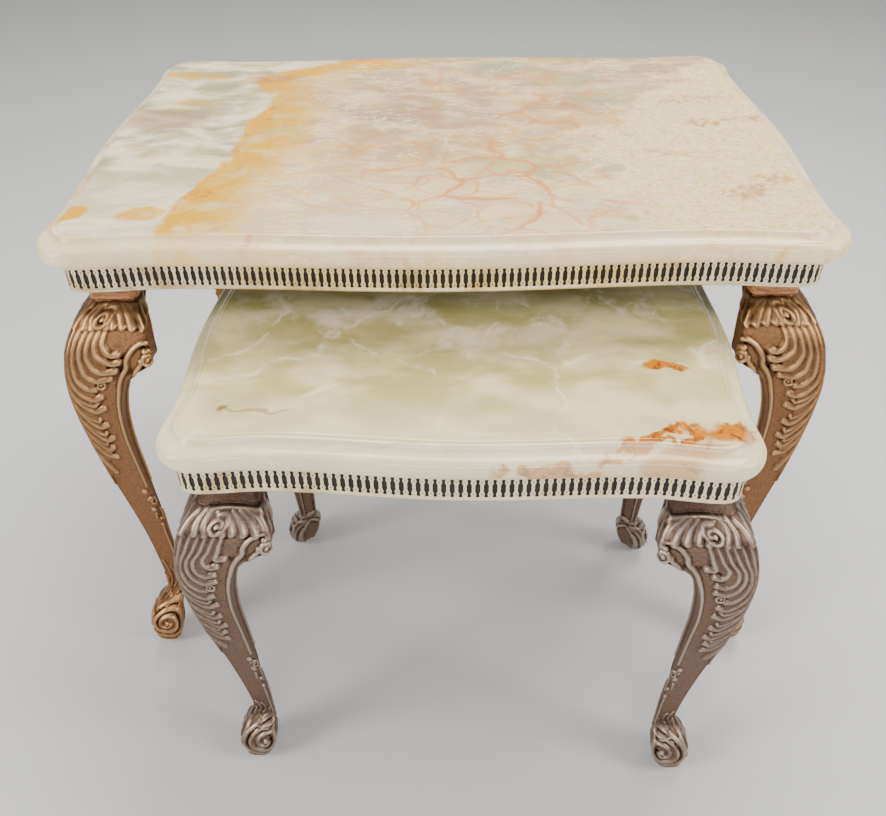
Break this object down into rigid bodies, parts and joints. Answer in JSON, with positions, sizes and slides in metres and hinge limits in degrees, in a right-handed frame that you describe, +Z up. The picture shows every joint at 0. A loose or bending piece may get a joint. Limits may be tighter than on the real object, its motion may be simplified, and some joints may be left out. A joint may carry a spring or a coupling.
{
  "type": "nesting tables",
  "caption": "Nesting tables with moulded serpentine onyx tops, pierced brass galleries and cast rococo cabriole legs; the small one slides out from under the large.",
  "frame": {"origin": "on the floor, at the centre of the bounding box of both tables as they stand at rest", "axes": "+X to the right along the long sides, +Y to the back of the large table, +Z up; the small table is drawn out towards -Y"},
  "size_m": [0.6, 0.568, 0.46],
  "materials": {
    "onyx_large": "polished",
    "onyx_small": "polished",
    "black_board": "painted black",
    "adhesive": "cured adhesive",
    "gallery_brass": "pale bright brass",
    "cast_brass": "antique bronze patina, rubbed on the high spots",
    "pad_wood": "bare",
    "steel": "zinc plated"
  },
  "bodies": {
    "large_table": {"large_stone_top": "onyx_large", "large_top_board": "black_board", "large_adhesive_dabs": "adhesive", "large_gallery_strip": "gallery_brass", "large_gallery_pins": "gallery_brass", "large_leg_studs": "steel", "large_threaded_inserts": "steel", "large_leg_front_left": "cast_brass", "large_leg_front_right": "cast_brass", "large_leg_back_left": "cast_brass", "large_leg_back_right": "cast_brass", "large_leg_pad_front_left": "pad_wood", "large_leg_pad_front_right": "pad_wood", "large_leg_pad_back_left": "pad_wood", "large_leg_pad_back_right": "pad_wood"},
    "small_table": {"small_stone_top": "onyx_small", "small_top_board": "black_board", "small_adhesive_dabs": "adhesive", "small_gallery_strip": "gallery_brass", "small_gallery_pins": "gallery_brass", "small_leg_studs": "steel", "small_threaded_inserts": "steel", "small_leg_front_left": "cast_brass", "small_leg_front_right": "cast_brass", "small_leg_back_left": "cast_brass", "small_leg_back_right": "cast_brass", "small_leg_pad_front_left": "pad_wood", "small_leg_pad_front_right": "pad_wood", "small_leg_pad_back_left": "pad_wood", "small_leg_pad_back_right": "pad_wood"}
  },
  "joints": [
    {"name": "small_table_slide", "type": "slide", "parent": "large_table", "child": "small_table", "axis": [0, 1, 0], "range_m": [-0.2, 0.199]}
  ]
}
